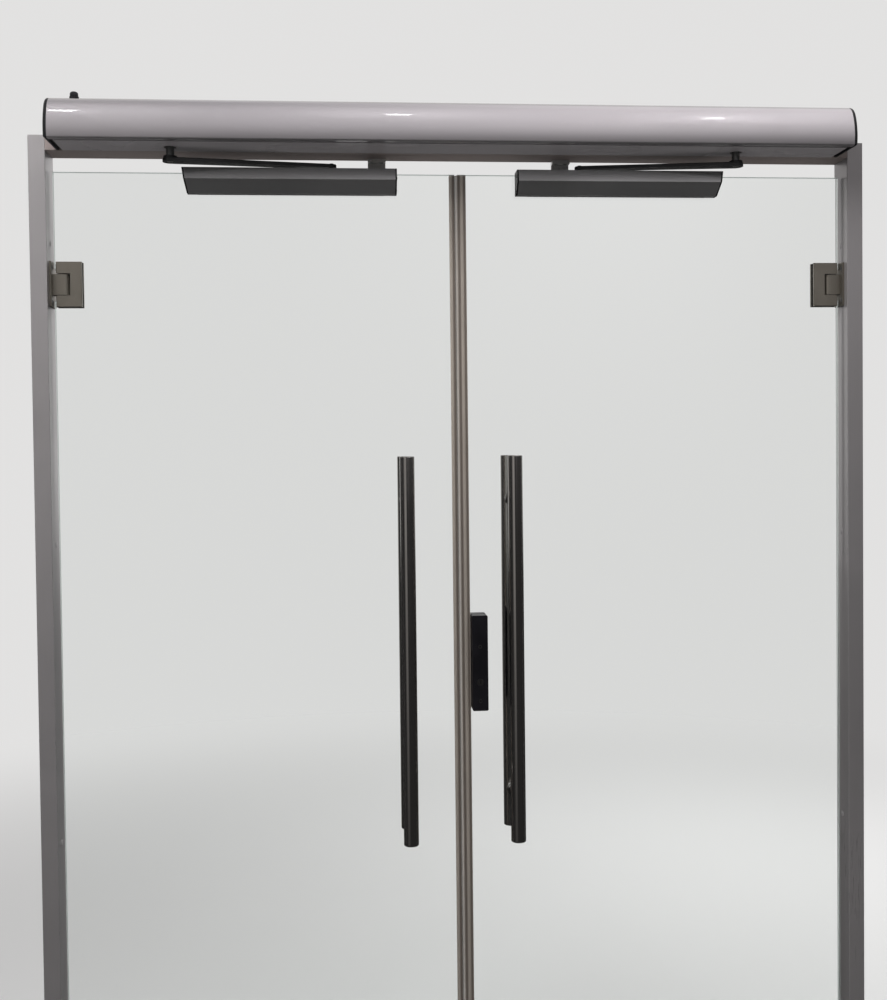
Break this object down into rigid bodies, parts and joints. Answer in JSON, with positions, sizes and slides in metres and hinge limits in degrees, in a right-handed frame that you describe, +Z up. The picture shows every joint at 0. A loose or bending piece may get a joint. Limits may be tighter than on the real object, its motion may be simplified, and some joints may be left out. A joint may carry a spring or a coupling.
{
  "type": "glass double entrance door",
  "caption": "Frameless glass double entrance door in a slim metal frame, with bar pull handles, a narrow lock and a swing operator that opens each leaf by a slide arm.",
  "frame": {"origin": "on the floor, midway between the jambs, in the middle plane of the glass", "axes": "+X to the right along the wall as seen from the operator side, +Y away from the operator side through the opening, +Z up"},
  "size_m": [1.686, 0.211, 2.225],
  "materials": {
    "frame_aluminium": "satin anodised",
    "chassis_aluminium": "dark anodised",
    "cover_lacquer": "glossy silver-grey lacquer",
    "black_plastic": "fine moulded grain",
    "control_plastic": "fine moulded grain",
    "supply_metal": "plain sheet",
    "stop_steel": "brushed",
    "black_rubber": "matt",
    "screw_steel": "plain",
    "hinge_steel": "satin nickel",
    "cast_aluminium": "as cast",
    "motor_paint": "satin black",
    "clear_glass": "clear toughened, polished edges",
    "pin_steel": "ground",
    "clear_gasket": "thin fibre pad",
    "rail_aluminium": "dark grey anodised",
    "handle_steel": "polished stainless",
    "spindle_steel": "ground",
    "arm_paint": "dark grey lacquer",
    "shoe_plastic": "smooth",
    "clear_seal": "clear extruded",
    "lock_paint": "satin black",
    "lock_steel": "nickel"
  },
  "bodies": {
    "frame": {"head_rail": "frame_aluminium", "operator_chassis": "chassis_aluminium", "head_screws": "screw_steel", "header_cover": "cover_lacquer", "control_unit": "control_plastic", "power_supply": "supply_metal", "cable_gland": "black_plastic", "door_stop_left": "stop_steel", "door_stop_right": "stop_steel", "stop_buffers": "black_rubber", "bracket_screws": "screw_steel", "jamb_left": "frame_aluminium", "jamb_right": "frame_aluminium", "hinge_brackets_left": "hinge_steel", "hinge_brackets_right": "hinge_steel", "end_cap_left": "black_plastic", "end_cap_right": "black_plastic", "gearbox_left": "cast_aluminium", "gearbox_right": "cast_aluminium", "motor_left": "motor_paint", "motor_right": "motor_paint"},
    "leaf_left": {"glass_leaf_left": "clear_glass", "hinge_front_plates_left": "hinge_steel", "hinge_rear_plates_left": "hinge_steel", "hinge_screws_left": "screw_steel", "hinge_pins_left": "pin_steel", "hinge_gaskets_left": "clear_gasket", "slide_rail_left": "rail_aluminium", "rail_end_caps_left": "black_plastic", "rail_back_plate_left": "rail_aluminium", "rail_bolts_left": "screw_steel", "pull_handle_front_left": "handle_steel", "pull_handle_rear_left": "handle_steel", "handle_standoffs_left": "handle_steel"},
    "arm_left": {"spindle_left": "spindle_steel", "drive_arm_left": "arm_paint", "arm_screw_left": "screw_steel"},
    "shoe_left": {"slide_shoe_left": "shoe_plastic"},
    "leaf_right": {"glass_leaf_right": "clear_glass", "hinge_front_plates_right": "hinge_steel", "hinge_rear_plates_right": "hinge_steel", "hinge_screws_right": "screw_steel", "hinge_pins_right": "pin_steel", "hinge_gaskets_right": "clear_gasket", "slide_rail_right": "rail_aluminium", "rail_end_caps_right": "black_plastic", "rail_back_plate_right": "rail_aluminium", "rail_bolts_right": "screw_steel", "pull_handle_front_right": "handle_steel", "pull_handle_rear_right": "handle_steel", "handle_standoffs_right": "handle_steel", "meeting_seal": "clear_seal", "lock_case_front": "lock_paint", "lock_case_rear": "lock_paint"},
    "arm_right": {"spindle_right": "spindle_steel", "drive_arm_right": "arm_paint", "arm_screw_right": "screw_steel"},
    "shoe_right": {"slide_shoe_right": "shoe_plastic"},
    "lock_bolt": {"lock_spindle": "lock_steel", "lock_bolts": "lock_steel"}
  },
  "joints": [
    {"name": "leaf_left_swing", "type": "hinge", "parent": "frame", "child": "leaf_left", "pos_m": [-0.785, 0, 1.05], "axis": [0, 0, -1], "range_deg": [0, 90]},
    {"name": "arm_left_turn", "type": "hinge", "parent": "frame", "child": "arm_left", "pos_m": [-0.564, -0.068, 2.16], "axis": [0, 0, -1], "range_deg": [0, 149.5]},
    {"name": "shoe_left_slide", "type": "slide", "parent": "leaf_left", "child": "shoe_left", "axis": [-1, 0, 0], "range_m": [0, 0.2701]},
    {"name": "leaf_right_swing", "type": "hinge", "parent": "frame", "child": "leaf_right", "pos_m": [0.785, 0, 1.05], "axis": [0, 0, 1], "range_deg": [0, 90]},
    {"name": "arm_right_turn", "type": "hinge", "parent": "frame", "child": "arm_right", "pos_m": [0.564, -0.068, 2.16], "axis": [0, 0, 1], "range_deg": [0, 149.5]},
    {"name": "shoe_right_slide", "type": "slide", "parent": "leaf_right", "child": "shoe_right", "axis": [1, 0, 0], "range_m": [0, 0.2701]},
    {"name": "lock_turn", "type": "hinge", "parent": "leaf_right", "child": "lock_bolt", "pos_m": [0.03775, 0, 1.055], "axis": [0, -1, 0], "range_deg": [0, 90]}
  ],
  "couplings": [
    {"joint": "arm_left_turn", "follows": "leaf_left_swing", "ratio": 1.6589},
    {"joint": "shoe_left_slide", "follows": "leaf_left_swing", "m_per_rad": 0.1717},
    {"joint": "arm_right_turn", "follows": "leaf_right_swing", "ratio": 1.6589},
    {"joint": "shoe_right_slide", "follows": "leaf_right_swing", "m_per_rad": 0.1717}
  ]
}
